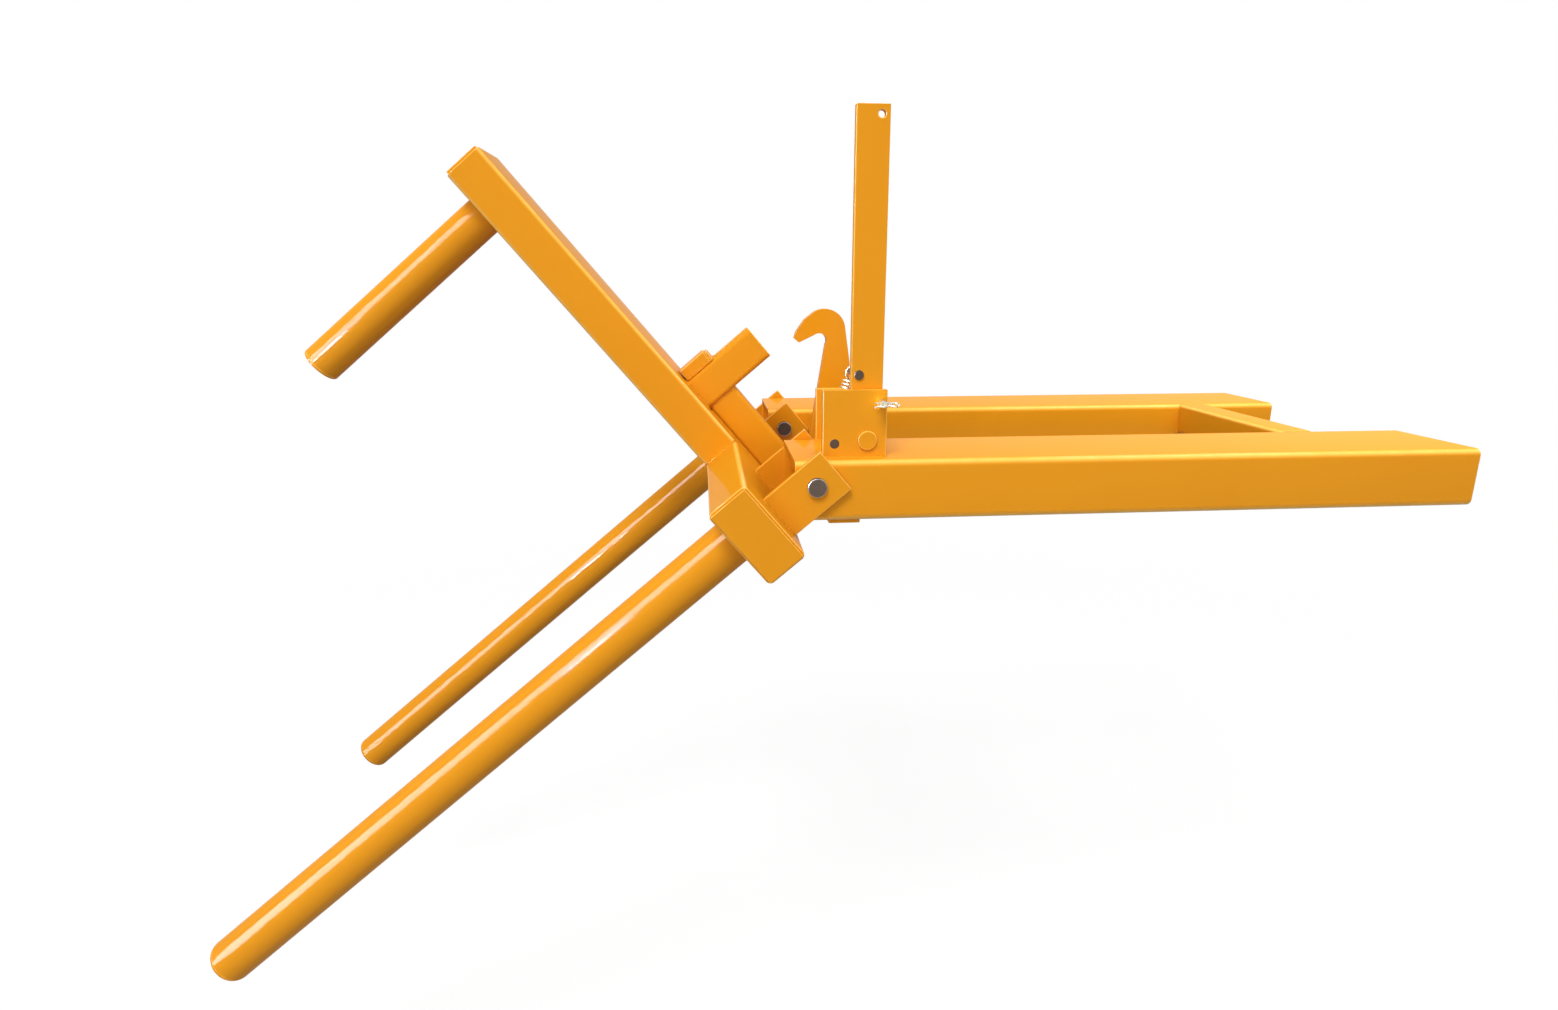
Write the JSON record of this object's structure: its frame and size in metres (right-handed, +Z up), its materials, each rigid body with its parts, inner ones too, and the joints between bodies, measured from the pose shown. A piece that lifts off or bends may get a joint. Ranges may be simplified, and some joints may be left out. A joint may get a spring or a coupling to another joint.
{
  "type": "tipping drum handler",
  "caption": "Fork-mounted drum handler: two fork sleeves, a tilting cradle with post, cross tube and round tines, and a sprung hook latch with a tall release lever.",
  "frame": {"origin": "middle of the pair of fork sleeves: halfway between them, at their middle height, below the hinge pins", "axes": "+X back along the sleeves towards the fork carriage, +Y from the lever's side to the other, +Z up"},
  "size_m": [1.6957, 0.699, 1.1207],
  "materials": {
    "yellow_paint": "glossy powder coat",
    "dark_steel": "dark oiled steel",
    "zinc_plate": "bright zinc plate"
  },
  "bodies": {
    "fork_frame": {"left_fork_sleeve": "yellow_paint", "right_fork_sleeve": "yellow_paint", "left_hinge_bush": "yellow_paint", "right_hinge_bush": "yellow_paint", "front_cross_tube": "yellow_paint", "rear_cross_tube": "yellow_paint", "left_wear_pad": "yellow_paint", "right_wear_pad": "yellow_paint", "outer_latch_plate": "yellow_paint", "inner_latch_plate": "yellow_paint", "left_hook_cheek": "yellow_paint", "right_hook_cheek": "yellow_paint", "spring_anchor_pin": "dark_steel", "anchor_spacer": "yellow_paint", "clip_post": "zinc_plate", "latch_spring": "zinc_plate"},
    "clip": {"hairpin_clip": "zinc_plate"},
    "latch": {"latch_shaft": "yellow_paint", "shaft_collar": "yellow_paint", "latch_hook": "yellow_paint", "release_lever": "yellow_paint", "spring_peg": "dark_steel"},
    "cradle": {"cradle_cross_tube": "yellow_paint", "left_cross_tube_cap": "yellow_paint", "right_cross_tube_cap": "yellow_paint", "cradle_post": "yellow_paint", "post_cap": "yellow_paint", "upper_tube": "yellow_paint", "upper_tube_cap": "yellow_paint", "left_tine": "yellow_paint", "right_tine": "yellow_paint", "left_tine_cap": "yellow_paint", "right_tine_cap": "yellow_paint", "catch_stub": "yellow_paint", "catch_pin": "yellow_paint", "post_brace": "yellow_paint", "stop_block": "yellow_paint", "stop_plate": "yellow_paint", "left_outer_lug": "yellow_paint", "left_inner_lug": "yellow_paint", "right_inner_lug": "yellow_paint", "right_outer_lug": "yellow_paint", "left_hinge_pin": "dark_steel", "right_hinge_pin": "dark_steel"}
  },
  "joints": [
    {"name": "cradle_tilt", "type": "hinge", "parent": "fork_frame", "child": "cradle", "pos_m": [0, 0, 0.008], "axis": [0, -1, 0], "range_deg": [-39.9, 50.1]},
    {"name": "latch_turn", "type": "hinge", "parent": "fork_frame", "child": "latch", "pos_m": [0.066, 0, 0.06], "axis": [0, 1, 0], "range_deg": [0, 25], "stiffness_Nm_per_rad": 20, "springref_deg": -17.19, "deforming": ["latch_spring"]},
    {"name": "clip_pull", "type": "slide", "parent": "fork_frame", "child": "clip", "axis": [1, 0, 0], "range_m": [0, 0.035]}
  ]
}
